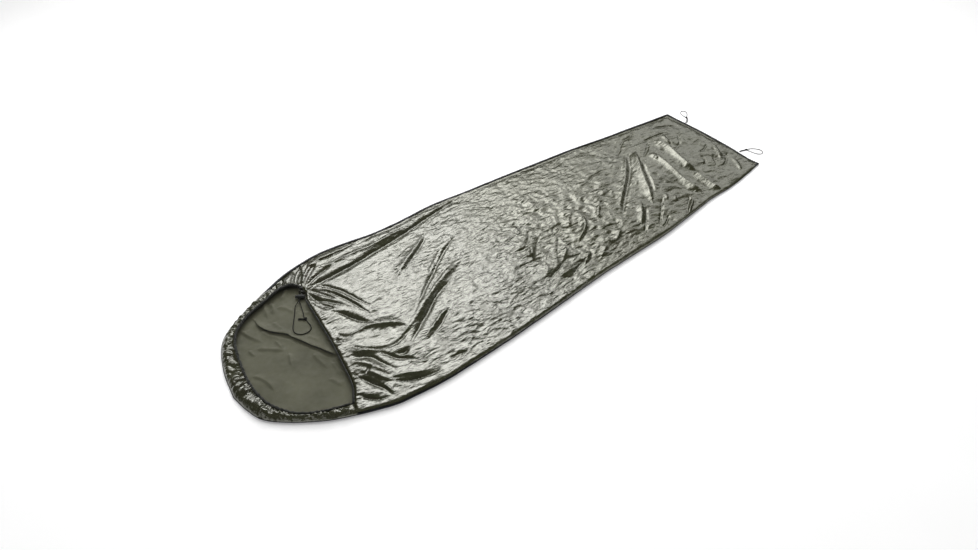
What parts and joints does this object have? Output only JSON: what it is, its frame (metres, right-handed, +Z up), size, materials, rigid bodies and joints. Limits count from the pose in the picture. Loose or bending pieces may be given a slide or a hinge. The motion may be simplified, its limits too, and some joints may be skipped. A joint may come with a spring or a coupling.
{
  "type": "bivy sack",
  "caption": "Mummy-shaped bivy sack laid out flat, with a gathered hood, a drawcord with a spring cord lock, and cord loops at the foot.",
  "frame": {"origin": "centre of the bag's plan on the surface it lies on", "axes": "+X along the bag towards the foot, +Y to the sleeper's left, +Z up"},
  "size_m": [2.3383, 0.7814, 0.036],
  "materials": {
    "shell_fabric": "thin coated nylon, shiny outside, finely crumpled",
    "base_fabric": "matte woven side of the same nylon",
    "seam_binding": "dark folded binding with stitching",
    "seam_tape": "clear-grey heat-bonded tape",
    "cord": "braided olive cord",
    "foot_cord": "braided black-green cord",
    "thread": "close zigzag stitching",
    "patch": "stiffened cloth",
    "lock_plastic": "moulded black plastic",
    "eyelet_metal": "blackened",
    "spring_steel": "drawn wire"
  },
  "bodies": {
    "bag": {"top_panel": "shell_fabric", "hood_panel": "shell_fabric", "drawcord_channel": "shell_fabric", "face_hem": "shell_fabric", "base_panel": "base_fabric", "side_seam_left": "seam_binding", "side_seam_right": "seam_binding", "foot_seam": "seam_binding", "hood_seam": "seam_binding", "seam_tape_left": "seam_tape", "seam_tape_right": "seam_tape", "seam_tape_foot": "seam_tape", "drawcord": "cord", "corner_bartacks": "thread", "foot_bartacks": "thread", "eyelet_patch": "patch", "eyelet": "eyelet_metal"},
    "cord_tail": {"drawcord_tail": "cord", "drawcord_knot": "cord"},
    "cord_lock": {"cord_lock_body": "lock_plastic", "cord_lock_spring": "spring_steel"},
    "lock_plunger": {"cord_lock_plunger": "lock_plastic"},
    "left_foot_loop": {"foot_loop_left": "foot_cord", "foot_knot_left": "foot_cord"},
    "right_foot_loop": {"foot_loop_right": "foot_cord", "foot_knot_right": "foot_cord"}
  },
  "joints": [
    {"name": "cord_tail_lift", "type": "hinge", "parent": "bag", "child": "cord_tail", "pos_m": [-0.738, 0.233, 0.01], "axis": [-0.7431, 0.6691, 0], "range_deg": [0, 90]},
    {"name": "cord_lock_slide", "type": "slide", "parent": "cord_tail", "child": "cord_lock", "axis": [-0.6691, -0.7431, 0], "range_m": [-0.006, 0.01]},
    {"name": "plunger_press", "type": "slide", "parent": "cord_lock", "child": "lock_plunger", "axis": [0.7431, -0.6691, 0], "range_m": [0, 0.004], "stiffness_N_per_m": 300, "deforming": ["cord_lock_spring"]},
    {"name": "left_foot_loop_lift", "type": "hinge", "parent": "bag", "child": "left_foot_loop", "pos_m": [1.129, 0.191, 0.003], "axis": [0, -1, 0], "range_deg": [0, 150]},
    {"name": "right_foot_loop_lift", "type": "hinge", "parent": "bag", "child": "right_foot_loop", "pos_m": [1.129, -0.107, 0.003], "axis": [0, -1, 0], "range_deg": [0, 150]}
  ]
}
